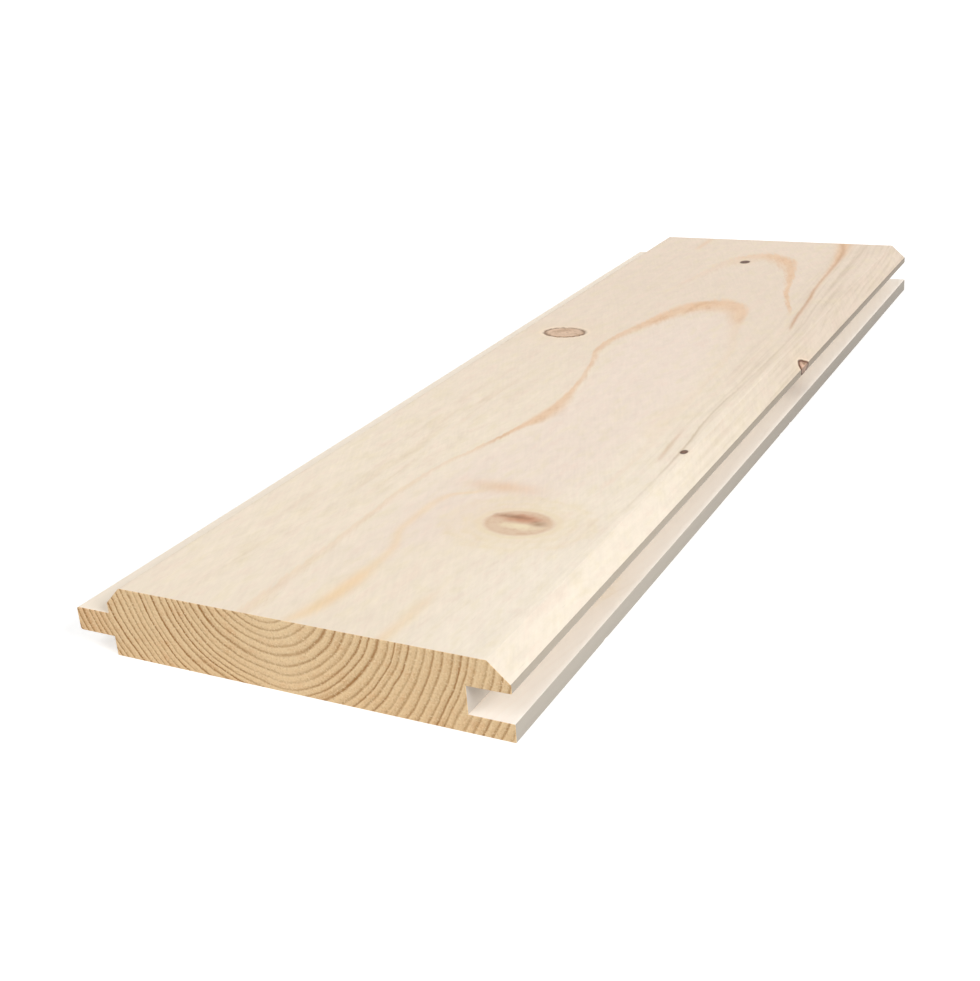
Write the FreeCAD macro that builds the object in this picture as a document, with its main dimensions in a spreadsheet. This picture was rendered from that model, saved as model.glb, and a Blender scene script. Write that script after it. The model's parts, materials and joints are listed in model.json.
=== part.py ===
import FreeCAD, Part
import os
import Sketcher

# A tongue and groove board, planed from one length of softwood. Its wide upper side is the face
# that shows once it is laid, and its lower side is the back, which lies on battens or joists.
# The tongue runs along the left edge (-X) and the groove along the right edge (+X), so the tongue
# of the next board enters this board's groove. Bevels along both edges of the face make a V joint.
# X is across the board, Y is along the grain and Z is up, from the back to the face.
# The origin is under the middle of the board, on the plane of the back.

# The driving dimensions in millimetres: name, value and what it measures.
SIZES = (
    ("board_length", 375, "end to end along the grain"),
    ("board_thickness", 19, "from the back to the face"),
    ("cover_width", 110.3, "width that one laid board covers, from shoulder to face lip"),
    ("tongue_reach", 10.4, "how far the tongue stands out from the shoulder under the face"),
    ("tongue_thickness", 6.3, "from the tongue's underside to its top"),
    ("tongue_lift", 5.25, "from the back up to the tongue's underside"),
    ("nose_radius", 0.6, "rounding of the tongue's two leading edges"),
    ("tip_clearance", 0.6, "free space past the tongue's tip when the joint is closed"),
    ("clearance_below", 0.65, "free space under the tongue in the groove"),
    ("clearance_above", 0.15, "free space over the tongue at the groove's inner wall"),
    ("mouth_flare", 0.2, "rise of the groove's ceiling from its inner wall to its mouth"),
    ("back_lip_extra", 0.3, "how far the back lip reaches past the face lip"),
    ("back_joint_gap", 0.2, "gap left at the back when the joint is tight at the face"),
    ("groove_bevel_width", 5.5, "bevel over the groove, measured across the face"),
    ("groove_bevel_depth", 5.0, "bevel over the groove, measured down from the face"),
    ("tongue_bevel_width", 4.6, "bevel over the tongue, measured across the face"),
    ("tongue_bevel_depth", 4.6, "bevel over the tongue, measured down from the face"),
)

# Places in the section that follow from those sizes: name, formula and what is there.
# A name that ends in left or right is counted outwards from the middle of the board.
PLACES = (
    ("half_width", "(sizes.tongue_reach + sizes.cover_width + sizes.back_lip_extra) / 2",
     "tip of the tongue on the left, edge of the back lip on the right"),
    ("shoulder_left", "half_width - sizes.tongue_reach", "shoulder under the face"),
    ("back_shoulder_left", "shoulder_left - sizes.back_lip_extra - sizes.back_joint_gap",
     "shoulder over the back"),
    ("tongue_top", "sizes.tongue_lift + sizes.tongue_thickness", "upper side of the tongue"),
    ("lip_right", "half_width - sizes.back_lip_extra", "edge of the lip under the face"),
    ("groove_wall_right", "lip_right - sizes.tongue_reach - sizes.tip_clearance", "inner wall"),
    ("groove_floor", "sizes.tongue_lift - sizes.clearance_below", "upper side of the back lip"),
    ("groove_ceiling", "tongue_top + sizes.clearance_above", "ceiling at the inner wall"),
    ("mouth_ceiling", "groove_ceiling + sizes.mouth_flare", "ceiling at the mouth"),
)

# An edge counts as being at a place if it is nearer than this, in millimetres.
PLACE_TOLERANCE = 0.001


def make_sheet(doc, name, rows):
    """Fills a sheet with one row for each value: its name, a number or a formula, and a note."""
    sheet = doc.addObject("Spreadsheet::Sheet", name)
    for number, (alias, value, note) in enumerate(rows, start=1):
        sheet.set(f"A{number}", alias)
        sheet.set(f"B{number}", f"={value}" if isinstance(value, str) else str(value))
        sheet.set(f"C{number}", note)
        sheet.setAlias(f"B{number}", alias)
    doc.recompute()
    return sheet


def section_plane(body):
    """The body's own upright plane across the board, on which every outline is drawn."""
    return next(item for item in body.Origin.OriginFeatures if item.Role == "XZ_Plane")


def draw_outline(body, name, corners):
    """Draws a closed outline of straight lines. A corner is two formulas: across, then up."""
    sketch = body.newObject("Sketcher::SketchObject", name)
    sketch.AttachmentSupport = (section_plane(body), "")
    sketch.MapMode = "FlatFace"

    # The lines are drawn where the formulas put them, and then tied to the formulas.
    points = [
        FreeCAD.Vector(float(sketch.evalExpression(across)), float(sketch.evalExpression(up)), 0)
        for across, up in corners
    ]
    following = points[1:] + points[:1]
    for start, end in zip(points, following):
        sketch.addGeometry(Part.LineSegment(start, end), False)
    for line in range(len(corners)):
        next_line = (line + 1) % len(corners)
        sketch.addConstraint(Sketcher.Constraint("Coincident", line, 2, next_line, 1))
    for line, (point, (across, up)) in enumerate(zip(points, corners)):
        for kind, value, formula in (("DistanceX", point.x, across), ("DistanceY", point.y, up)):
            constraint = Sketcher.Constraint(kind, -1, 1, line, 1, value)
            number = sketch.addConstraint(constraint)
            sketch.setExpression(f"Constraints[{number}]", formula)
    return sketch


def run_along_board(feature, outline):
    """Takes a pad or pocket both ways from its outline, half the board's length each way."""
    feature.Profile = outline
    feature.SideType = "Symmetric"
    feature.setExpression("Length", "sizes.board_length")
    feature.Document.recompute()


def saw_blank(body):
    """The blank is a plain rectangle, as wide as the tongue and the back lip need."""
    outline = draw_outline(body, "blank_outline", (
        ("-places.half_width", "0"),
        ("places.half_width", "0"),
        ("places.half_width", "sizes.board_thickness"),
        ("-places.half_width", "sizes.board_thickness"),
    ))
    run_along_board(body.newObject("PartDesign::Pad", "blank"), outline)


def cut(body, name, corners):
    """One cutter of the planing machine: it takes an outline out along the whole board."""
    before = body.Shape.Volume
    outline = draw_outline(body, f"{name}_outline", corners)
    run_along_board(body.newObject("PartDesign::Pocket", name), outline)
    taken = before - body.Shape.Volume
    if taken <= 0:
        raise RuntimeError(f"the cut {name} takes no wood away")
    print(f"{name} takes away {taken:.0f} cubic millimetres")


def cut_tongue(body):
    """A rebate over the tongue and a deeper one under it leave the tongue standing."""
    cut(body, "face_rebate", (
        ("-places.half_width", "places.tongue_top"),
        ("-places.shoulder_left", "places.tongue_top"),
        ("-places.shoulder_left", "sizes.board_thickness"),
        ("-places.half_width", "sizes.board_thickness"),
    ))
    cut(body, "back_rebate", (
        ("-places.half_width", "0"),
        ("-places.back_shoulder_left", "0"),
        ("-places.back_shoulder_left", "sizes.tongue_lift"),
        ("-places.half_width", "sizes.tongue_lift"),
    ))


def cut_groove(body):
    """The face lip is trimmed shorter than the back lip, and the groove is cut between them."""
    cut(body, "lip_trim", (
        ("places.lip_right", "places.groove_floor"),
        ("places.half_width", "places.groove_floor"),
        ("places.half_width", "sizes.board_thickness"),
        ("places.lip_right", "sizes.board_thickness"),
    ))
    cut(body, "groove", (
        ("places.groove_wall_right", "places.groove_floor"),
        ("places.lip_right", "places.groove_floor"),
        ("places.lip_right", "places.mouth_ceiling"),
        ("places.groove_wall_right", "places.groove_ceiling"),
    ))


def cut_bevels(body):
    """Both edges of the face are bevelled, and two laid boards then meet in a V."""
    cut(body, "tongue_bevel", (
        ("-places.shoulder_left", "sizes.board_thickness - sizes.tongue_bevel_depth"),
        ("-places.shoulder_left + sizes.tongue_bevel_width", "sizes.board_thickness"),
        ("-places.shoulder_left", "sizes.board_thickness"),
    ))
    cut(body, "groove_bevel", (
        ("places.lip_right", "sizes.board_thickness - sizes.groove_bevel_depth"),
        ("places.lip_right", "sizes.board_thickness"),
        ("places.lip_right - sizes.groove_bevel_width", "sizes.board_thickness"),
    ))


def long_edge(shape, across, up):
    """The name of the edge that runs along the board at one place in its section."""
    for number, edge in enumerate(shape.Edges, start=1):
        box = edge.BoundBox
        misses = (box.XMin - across, box.XMax - across, box.ZMin - up, box.ZMax - up)
        if max(abs(miss) for miss in misses) < PLACE_TOLERANCE:
            return f"Edge{number}"
    raise RuntimeError(f"no edge runs along the board at {across:.2f} across, {up:.2f} up")


def round_nose(body, sizes, places):
    """The tongue's two leading edges are rounded, so that it finds its way into a groove."""
    planed = body.Tip
    tip = -places.get("half_width")
    leading_edges = [
        long_edge(planed.Shape, tip, sizes.get("tongue_lift")),
        long_edge(planed.Shape, tip, places.get("tongue_top")),
    ]
    nose = body.newObject("PartDesign::Fillet", "tongue_nose")
    nose.Base = (planed, leading_edges)
    nose.setExpression("Radius", "sizes.nose_radius")
    body.Document.recompute()


def make_board(doc, sizes, places):
    """The whole board, in the order in which a planing machine makes it."""
    body = doc.addObject("PartDesign::Body", "board")
    body.Label = "board"
    saw_blank(body)
    cut_tongue(body)
    cut_groove(body)
    cut_bevels(body)
    round_nose(body, sizes, places)
    return body


def check_document(doc):
    """A failed feature doesn't stop a recompute, so each object's state is read here."""
    for item in doc.Objects:
        if "Invalid" in item.State or "Error" in item.State:
            raise RuntimeError(f"{item.Label} has failed: {item.State}")


def export_board(body, folder):
    """Writes the board's one solid to a file named after the body."""
    shape = body.Shape
    if shape.isNull() or not shape.isValid() or len(shape.Solids) != 1:
        raise RuntimeError(f"{body.Label} isn't one sound solid")
    os.makedirs(folder, exist_ok=True)
    shape.exportStep(os.path.join(folder, f"{body.Label}.step"))
    box = shape.BoundBox
    print(f"{body.Label}: {box.XLength:.2f} x {box.YLength:.2f} x {box.ZLength:.2f} mm")
    print(f"{body.Label}: {shape.Volume / 1000:.1f} cubic centimetres of wood")


doc = FreeCAD.newDocument("tongue_and_groove_board")
sizes = make_sheet(doc, "sizes", SIZES)
places = make_sheet(doc, "places", PLACES)
board = make_board(doc, sizes, places)
check_document(doc)
export_board(board, "parts")
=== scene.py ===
# %% [markdown]
# # A tongue and groove board
#
# This lesson dresses one planed softwood board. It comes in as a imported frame: one solid of the
# right size, with its tongue on the left (-X), its groove on the right (+X) and its face up. That
# solid stays as it is. Beside it we model a finer board, with eased edges and real knots, give it
# wood whose rings run right through it, and light it on a pale floor.

# %% Load the frame
import json
import math
import random
from collections import namedtuple

import bmesh
import bpy
from mathutils import Matrix, Vector


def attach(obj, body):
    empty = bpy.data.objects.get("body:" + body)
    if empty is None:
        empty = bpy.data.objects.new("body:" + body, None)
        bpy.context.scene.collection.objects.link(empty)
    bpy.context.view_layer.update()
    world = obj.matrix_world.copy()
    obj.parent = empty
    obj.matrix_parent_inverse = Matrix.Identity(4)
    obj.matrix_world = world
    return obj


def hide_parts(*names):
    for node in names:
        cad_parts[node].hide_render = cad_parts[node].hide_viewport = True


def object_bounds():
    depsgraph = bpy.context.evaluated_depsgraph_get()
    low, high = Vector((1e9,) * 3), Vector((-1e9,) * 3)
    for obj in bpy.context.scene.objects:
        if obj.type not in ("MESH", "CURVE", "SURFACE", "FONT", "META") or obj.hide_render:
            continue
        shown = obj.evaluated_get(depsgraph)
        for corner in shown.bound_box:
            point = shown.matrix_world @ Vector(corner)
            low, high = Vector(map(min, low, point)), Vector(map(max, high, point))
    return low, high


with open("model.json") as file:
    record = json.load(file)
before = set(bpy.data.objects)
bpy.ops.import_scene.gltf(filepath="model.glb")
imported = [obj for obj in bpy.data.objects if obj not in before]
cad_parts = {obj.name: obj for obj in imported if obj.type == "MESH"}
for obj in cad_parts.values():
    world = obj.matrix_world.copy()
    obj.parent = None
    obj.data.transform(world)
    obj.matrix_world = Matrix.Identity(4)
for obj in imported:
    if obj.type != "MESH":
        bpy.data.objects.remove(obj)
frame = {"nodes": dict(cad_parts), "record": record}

frame_low, frame_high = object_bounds()
MM = 0.001
thickness = frame_high.z
length = frame_high.y - frame_low.y
print(f"the frame is {(frame_high.x - frame_low.x) / MM:.1f} x {length / MM:.1f} x {thickness / MM:.1f} mm")

# %% [markdown]
# ## The camera
#
# The board is seen from its groove side, a little above its front end. Where the camera stands and
# how it is turned were worked out from the corners of the board, and they are written down as a
# photographer would say them: which way it looks, how far down, and how far it is tipped to one
# side. A camera looks along its own -Z with +Y up, so the three directions that follow from those
# angles become the columns of its rotation.

# %% Camera
CAMERA_PLACE = Vector((182.3, -409.9, 163.8)) * MM
LOOKS_LEFT_OF_Y = math.radians(29.04)
LOOKS_DOWN = math.radians(22.57)
TIPPED = math.radians(-4.45)
LENS = 51.4


def make_camera():
    """Stands the camera in front of the groove side and turns it to the board."""
    ahead = Vector((
        -math.sin(LOOKS_LEFT_OF_Y) * math.cos(LOOKS_DOWN),
        math.cos(LOOKS_LEFT_OF_Y) * math.cos(LOOKS_DOWN),
        -math.sin(LOOKS_DOWN),
    ))
    level_right = ahead.cross(Vector((0, 0, 1))).normalized()
    level_up = level_right.cross(ahead)
    right = level_right * math.cos(TIPPED) + level_up * math.sin(TIPPED)
    up = right.cross(ahead)
    bpy.ops.object.camera_add()
    camera = bpy.context.object
    camera.name = "board_camera"
    camera.data.lens = LENS
    camera.data.clip_start = 0.01
    camera.data.clip_end = 50
    turned = Matrix((right, up, -ahead)).transposed().to_4x4()
    camera.matrix_world = Matrix.Translation(CAMERA_PLACE) @ turned
    bpy.context.scene.camera = camera
    return camera


camera = make_camera()
print("the camera stands at", [round(place / MM) for place in camera.location], "mm")

# %% [markdown]
# ## The section of the board
#
# A moulded board has one section all along its length, so a few places say everything about its
# shape. They could be typed in again, but then the fine board could drift away from the frame.
# Reading them off the frame's own corners keeps the two the same. Every corner has a place across
# the board (x) and a height above its back (z), and the frame's mounts say where to look.

# %% Read the section off the frame
HAIR = 0.02 * MM

corners = sorted({(v.co.x, v.co.z) for v in frame["nodes"]["board"].data.vertices})
mounts = {mount["name"]: Vector(mount["pos_m"]) for mount in frame["record"]["mounts"]}


def heights_at(x):
    """The heights of the frame's corners at one place across the board."""
    return sorted(z for corner_x, z in corners if abs(corner_x - x) < HAIR)


def places_at(z):
    """The places across the board of the frame's corners at one height."""
    return sorted(x for x, corner_z in corners if abs(corner_z - z) < HAIR)


tongue_tip_x, back_lip_x = frame_low.x, frame_high.x
shoulder_x, back_shoulder_x = mounts["tongue_shoulder"].x, places_at(0)[0]
groove_wall_x, lip_x = mounts["groove"].x, mounts["face_lip"].x
face_left_x, face_right_x = places_at(thickness)[0], places_at(thickness)[-1]

tongue_underside = heights_at(back_shoulder_x)[-1]
tongue_top, tongue_bevel_foot = heights_at(shoulder_x)[0], heights_at(shoulder_x)[-1]
groove_floor, groove_ceiling = heights_at(groove_wall_x)[0], heights_at(groove_wall_x)[-1]
mouth_ceiling, groove_bevel_foot = heights_at(lip_x)[0], heights_at(lip_x)[-1]
print(f"tongue {(tongue_top - tongue_underside) / MM:.2f} mm thick, "
      f"groove {(groove_ceiling - groove_floor) / MM:.2f} mm high, "
      f"face {(face_right_x - face_left_x) / MM:.1f} mm wide")

# %% [markdown]
# ## Roughing out the board
#
# The real board starts as a sawn blank, and a planing machine takes wood away on all four sides. A
# mesh grows the other way round. We start from a block for the middle of the board, cut lines
# around it at the heights of the tongue and the groove, and push the faces between those lines
# outwards. Nearly all of the faces that this gives have four sides. The bevel over the tongue is
# sliced off first, while nothing stands out past the shoulder, and the one over the groove last.

# %% Helpers for choosing and cutting
def only(thing):
    """Makes this object the only selected one, and the one that operators work on."""
    bpy.ops.object.select_all(action="DESELECT")
    thing.select_set(True)
    bpy.context.view_layer.objects.active = thing


def select(kind, wanted):
    """In edit mode, selects the faces, edges or vertices for which wanted(item) is true."""
    bpy.ops.mesh.select_mode(type=kind)
    bpy.ops.mesh.select_all(action="DESELECT")
    mesh = bpy.context.object.data
    shape = bmesh.from_edit_mesh(mesh)
    items = {"FACE": shape.faces, "EDGE": shape.edges, "VERT": shape.verts}[kind]
    chosen = [item for item in items if wanted(item)]
    for item in chosen:
        item.select_set(True)
    shape.select_flush_mode()
    bmesh.update_edit_mesh(mesh)
    return len(chosen)


def cut_line(place, normal, clear=False):
    """Cuts a line right round the mesh. With clear, what lies beyond it goes, and the cut is closed."""
    bpy.ops.mesh.select_all(action="SELECT")
    bpy.ops.mesh.bisect(plane_co=place, plane_no=normal, use_fill=clear, clear_outer=clear,
                        threshold=HAIR / 4)


def is_at(point, x=None, z=None):
    """Whether a point lies at a place across the board, at a height, or both."""
    return (x is None or abs(point.x - x) < HAIR) and (z is None or abs(point.z - z) < HAIR)


# %% The block, the tongue and the two lips
def slice_bevel(foot_x, foot_z, top_x):
    """Takes one long edge off the face, from its foot on the side to its top on the face."""
    side = math.copysign(1, foot_x)
    outwards = Vector((side * (thickness - foot_z), 0, abs(foot_x - top_x)))
    cut_line((foot_x, 0, foot_z), outwards.normalized(), clear=True)


def push_out(side, low, high, distance):
    """Extrudes the faces of one side (-1 or 1) that lie between two heights."""
    select("FACE", lambda face: face.normal.x * side > 0.9 and low < face.calc_center_median().z < high)
    bpy.ops.mesh.extrude_region_move(TRANSFORM_OT_translate={"value": (distance, 0, 0)})


def rough_out():
    """The board with square edges, in edit mode."""
    bpy.ops.object.select_all(action="DESELECT")
    middle = ((shoulder_x + groove_wall_x) / 2, 0, thickness / 2)
    sides = (groove_wall_x - shoulder_x, length, thickness)
    bpy.ops.mesh.primitive_cube_add(size=1, location=middle, scale=sides)
    bpy.ops.object.transform_apply(location=True, rotation=False, scale=True)
    bpy.context.object.name = "planed_board"
    bpy.ops.object.mode_set(mode="EDIT")
    for height in (groove_floor, tongue_underside, tongue_top, groove_ceiling):
        cut_line((0, 0, height), (0, 0, 1))
    slice_bevel(shoulder_x, tongue_bevel_foot, face_left_x)
    push_out(-1, tongue_underside, tongue_top, tongue_tip_x - shoulder_x)
    push_out(1, 0, groove_floor, back_lip_x - groove_wall_x)
    push_out(1, groove_ceiling, thickness, lip_x - groove_wall_x)
    slice_bevel(lip_x, groove_bevel_foot, face_right_x)


def true_up():
    """Sets the back shoulder deeper than the face shoulder, and opens the groove at its mouth."""
    select("VERT", lambda vert: is_at(vert.co, x=shoulder_x) and vert.co.z < tongue_underside + HAIR)
    bpy.ops.transform.translate(value=(back_shoulder_x - shoulder_x, 0, 0))
    select("VERT", lambda vert: is_at(vert.co, x=lip_x, z=groove_ceiling))
    bpy.ops.transform.translate(value=(0, 0, mouth_ceiling - groove_ceiling))
    bpy.ops.mesh.select_all(action="SELECT")
    bpy.ops.mesh.normals_make_consistent(inside=False)


rough_out()
true_up()
bpy.ops.object.mode_set(mode="OBJECT")
board = bpy.context.object
print(f"roughed out with {len(board.data.polygons)} faces, "
      f"from x {min(v.co.x for v in board.data.vertices) / MM:.2f} "
      f"to {max(v.co.x for v in board.data.vertices) / MM:.2f} mm")

# %% [markdown]
# ## Easing the edges
#
# No edge of a planed board is perfectly sharp. The tongue's nose is rounded on purpose, and the
# other long edges lose a fraction of a millimetre to the knives and to handling. The sawn ends
# keep a crisper edge. The Bevel operator makes each of these: it is given the edges to work on, a
# width, and the number of flats that make the round.

# %% Ease the edges
NOSE_RADIUS = 0.6 * MM
EASED = 0.18 * MM
END_EASED = 0.1 * MM
SHARP = math.radians(30)


def runs_along(edge):
    """Whether an edge runs the length of the board."""
    return abs(edge.verts[0].co.y - edge.verts[1].co.y) > length / 2


def is_sharp(edge):
    """Whether an edge sticks out and turns a corner."""
    return edge.is_convex and edge.calc_face_angle(0) > SHARP


def on_nose(edge):
    """Whether an edge is one of the tongue's two leading edges."""
    start = edge.verts[0].co
    return is_at(start, tongue_tip_x, tongue_top) or is_at(start, tongue_tip_x, tongue_underside)


def on_end(edge):
    """Whether both ends of an edge lie on the same sawn end of the board."""
    return all(abs(abs(vert.co.y) - length / 2) < HAIR for vert in edge.verts)


def ease_edges(thing):
    """Rounds the nose, then the other long edges, and last the rims of both ends."""
    only(thing)
    bpy.ops.object.mode_set(mode="EDIT")
    noses = select("EDGE", lambda edge: runs_along(edge) and on_nose(edge))
    bpy.ops.mesh.bevel(offset=NOSE_RADIUS, segments=4, affect="EDGES")
    eased = select("EDGE", lambda edge: runs_along(edge) and is_sharp(edge))
    bpy.ops.mesh.bevel(offset=EASED, segments=2, affect="EDGES")
    rims = select("EDGE", lambda edge: not runs_along(edge) and on_end(edge) and is_sharp(edge))
    bpy.ops.mesh.bevel(offset=END_EASED, segments=1, affect="EDGES")
    bpy.ops.object.mode_set(mode="OBJECT")
    print(f"rounded {noses} nose edges, eased {eased} long edges and {rims} end edges")


ease_edges(board)

# %% [markdown]
# ## The knots
#
# A knot is the foot of a branch that the trunk grew around, and here each one runs right through
# the board. We describe it as an oval rod: a centre, the main axis that it follows, how far it
# leans from that axis for each millimetre, and its radii. The same description shapes the mesh and
# colours the wood, so a crack in the mesh lies on the dark rim that the eye sees. A sound knot has
# grown into the wood around it. A dead one has a dark rim, and has cracked loose along it.
# The knot on the edge has three corners. The cosine of three times an angle has three peaks in a
# turn, and with the cosine c of the angle itself it is 4c³ - 3c, so it pulls three flat sides in.

# %% Knots
Knot = namedtuple("Knot", "name centre axis lean radii kind flat corners", defaults=((0, 0, 1), 0.0))
ACROSS, UP = (1, 0, 0), (0, 0, 1)
# One flat side of the edge knot looks up and to the back end, at this angle above the board's length.
FLAT_SIDE = math.radians(49)
KNOTS = (
    Knot("sound_knot", (30.1, -122.2, 19.0), UP, (-0.35, 0.12, 1), (9.6, 7.7, 1), "sound"),
    Knot("dead_knot", (-29.3, 36.3, 19.0), UP, (0.45, -0.1, 1), (8.0, 6.1, 1), "dead"),
    Knot("edge_knot", (60.2, 33.7, 13.7), ACROSS, (1, -0.6, 0.1), (1, 4.8, 2.15), "edge",
         (0, math.cos(FLAT_SIDE), math.sin(FLAT_SIDE)), 0.14),
    Knot("pin_knot_by_groove", (53.1, -63.7, 19.0), UP, (0.6, 0.05, 1), (1.1, 1.6, 1), "pin"),
    Knot("pin_knot_at_back", (2.6, 148.5, 19.0), UP, (0.1, -0.1, 1), (2.0, 2.6, 1), "pin"),
)
# The kinds of knot that have come loose, and how deep their cracks are as a share of the deepest.
LOOSE = {"dead": 1.0, "edge": 0.4}


def reach(knot, point):
    """How far a point is from a knot's middle line, counted in the knot's own radii: 1 is its rim."""
    away = point / MM - Vector(knot.centre)
    aside = away - Vector(knot.lean) * away.dot(Vector(knot.axis))
    share = Vector((aside.x / knot.radii[0], aside.y / knot.radii[1], aside.z / knot.radii[2]))
    turn = share.normalized().dot(Vector(knot.flat))
    return share.length * (1 + (4 * turn * turn - 3) * turn * knot.corners)


for knot in KNOTS:
    print(f"{knot.name}: a {knot.kind} knot, {2 * max(knot.radii):.0f} mm wide")

# %% [markdown]
# ## A net of small faces
#
# Knots, cracks and nicks have to be part of the shape, so the mesh needs points to move. We cut
# the section into small squares first, while the mesh is still tiny, and then divide only the
# edges that run along the board. Around each knot the squares are divided again, because a crack
# is only a millimetre or so wide.

# %% Divide the board
CELL = 1.5 * MM
CUTS_AT_ONCE = 15
AROUND_KNOT = 1.35


def spread(low, high, keep_off):
    """Evenly spaced places about one cell apart, except close to those in keep_off."""
    count = round((high - low) / CELL)
    places = [low + (high - low) * number / count for number in range(1, count)]
    return [place for place in places if all(abs(place - other) > CELL / 4 for other in keep_off)]


def near_knot(face):
    """Whether a face lies in a knot or just outside its rim."""
    middle = face.calc_center_median()
    return any(reach(knot, middle) < AROUND_KNOT for knot in KNOTS)


def divide(thing):
    """Cuts the section into small squares, the length into short strips, and the knots finer still."""
    only(thing)
    corner_places = [x for x, z in corners]
    corner_heights = [z for x, z in corners]
    bpy.ops.object.mode_set(mode="EDIT")
    for x in spread(tongue_tip_x, back_lip_x, corner_places):
        cut_line((x, 0, 0), ACROSS)
    for z in spread(0, thickness, corner_heights):
        cut_line((0, 0, z), UP)
    for _ in range(2):
        select("EDGE", lambda edge: abs(edge.verts[0].co.y - edge.verts[1].co.y) > 4 * CELL)
        bpy.ops.mesh.subdivide(number_cuts=CUTS_AT_ONCE)
    select("FACE", near_knot)
    bpy.ops.mesh.subdivide(number_cuts=3)
    bpy.ops.object.mode_set(mode="OBJECT")
    print(f"divided into {len(thing.data.polygons)} faces")


divide(board)

# %% [markdown]
# ## Cracks, sunken knots and nicks
#
# The larger knots lie a little lower than the wood around them, and two of them have come loose at
# the rim. Handling has left small nicks along the edges. Each of these could be pushed in by hand.
# A Displace modifier does it evenly: a vertex group says how strongly each point is moved along
# its normal, and the modifier's strength says how far.

# %% Weigh the points and displace them
CRACK_DEPTH = 0.4 * MM
KNOT_SINK = 0.08 * MM
NICK_DEPTH = 0.3 * MM
NICK_COUNT = 26
NICK_SIZE = 1.6 * MM


def bump_weight(distance, width):
    """1 in the middle of a bump, and smoothly down to 0 at its width."""
    return max(0.0, 1 - (distance / width) ** 2) ** 2


def crack_weight(point):
    """How far a point lies in the open rim of a loose knot, which gapes more in some places."""
    weight = 0.0
    for knot in KNOTS:
        if knot.kind not in LOOSE:
            continue
        ring = bump_weight(reach(knot, point) - 0.95, 0.13)
        gape = 0.6 + 0.4 * math.sin(2.3 * point.y / MM + 1.7 * (point.x + point.z) / MM)
        weight = max(weight, ring * gape * LOOSE[knot.kind])
    return weight


def sink_weight(point):
    """How far a point lies inside a knot."""
    return max(bump_weight(reach(knot, point), 0.9) for knot in KNOTS if knot.kind != "pin")


def pick_nicks():
    """Places on the long edges of the face and the lips where something has knocked the board."""
    rng = random.Random(8)
    edges = (
        (shoulder_x, tongue_bevel_foot), (face_left_x, thickness), (face_right_x, thickness),
        (lip_x, groove_bevel_foot), (back_lip_x, groove_floor), (back_lip_x, 0), (back_shoulder_x, 0),
    )
    nicks = []
    for _ in range(NICK_COUNT):
        x, z = rng.choice(edges)
        nicks.append((Vector((x, rng.uniform(-0.48, 0.48) * length, z)), rng.uniform(0.25, 1)))
    return nicks


nicks = pick_nicks()


def nick_weight(point):
    """How far a point lies in one of the nicks."""
    return max(bump_weight((point - place).length, NICK_SIZE) * depth for place, depth in nicks)


def displace(thing, name, weigh, distance):
    """Moves points along their normals, each by its own weight times a distance."""
    group = thing.vertex_groups.new(name=name)
    touched = 0
    for vert in thing.data.vertices:
        weight = weigh(vert.co)
        if weight > 0.01:
            group.add([vert.index], weight, "REPLACE")
            touched += 1
    modifier = thing.modifiers.new(name, "DISPLACE")
    modifier.vertex_group = name
    modifier.mid_level = 0
    modifier.strength = distance
    only(thing)
    bpy.ops.object.modifier_apply(modifier=name)
    print(f"{name}: moved {touched} points by up to {distance / MM:.2f} mm")


displace(board, "knot_sink", sink_weight, -KNOT_SINK)
displace(board, "rim_cracks", crack_weight, -CRACK_DEPTH)
displace(board, "nicks", nick_weight, -NICK_DEPTH)

# %% [markdown]
# ## Put the board in the frame's place
#
# The new board stands for the frame's solid and moves with the body that holds it. Its edges are
# shaded smooth only where they turn gently, so that the nose looks round and the bevels stay crisp.

only(board)
bpy.ops.object.shade_smooth_by_angle(angle=math.radians(26))
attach(board, "root")
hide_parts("board")
triangles = sum(len(face.vertices) - 2 for face in board.data.polygons)
print(f"{board.name} has {triangles} triangles")

# %% [markdown]
# ## Wires: node trees written as sums
#
# Wood is drawn by many small sums: a distance from the heart of the tree, a ring number, a mask.
# Node trees can hold all of them, but placing each Math node by hand hides the sum. So we write a
# small class whose arithmetic adds the nodes. `a * b + 2` then reads as what it works out.

# %% The Wire class
class Wire:
    """A value in a node tree. Arithmetic on it adds the Math nodes that work it out."""

    def __init__(self, tree, socket):
        self.tree = tree
        self.socket = socket

    def math(self, operation, *others):
        node = self.tree.nodes.new("ShaderNodeMath")
        node.operation = operation
        for socket, value in zip(node.inputs, (self, *others)):
            plug(self.tree, value, socket)
        return Wire(self.tree, node.outputs["Value"])

    def __add__(self, other):
        return self.math("ADD", other)

    def __sub__(self, other):
        return self.math("SUBTRACT", other)

    def __mul__(self, other):
        return self.math("MULTIPLY", other)

    def __truediv__(self, other):
        return self.math("DIVIDE", other)

    def __rsub__(self, other):
        return self * -1 + other

    __radd__ = __add__
    __rmul__ = __mul__


def plug(tree, value, socket):
    """Links a wire to a socket, or writes a plain number, colour or vector into it."""
    if isinstance(value, Wire):
        tree.links.new(value.socket, socket)
    elif socket.type == "RGBA":
        socket.default_value = (*value, 1)
    else:
        socket.default_value = value


def add(tree, kind, settings, **inputs):
    """Adds a node, with its settings and what goes into its sockets. From_Min means From Min."""
    node = tree.nodes.new("ShaderNode" + kind)
    for name, value in settings.items():
        setattr(node, name, value)
    for name, value in inputs.items():
        plug(tree, value, node.inputs[name.replace("_", " ")])
    return node


# %% Small tools made of wires
def step_up(value, low, high):
    """0 below low, 1 above high, and a smooth climb between them."""
    node = add(value.tree, "MapRange", {"interpolation_type": "SMOOTHSTEP"},
               Value=value, From_Min=low, From_Max=high)
    return Wire(value.tree, node.outputs["Result"])


def step_down(value, low, high):
    """1 below low, 0 above high."""
    return 1 - step_up(value, low, high)


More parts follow.
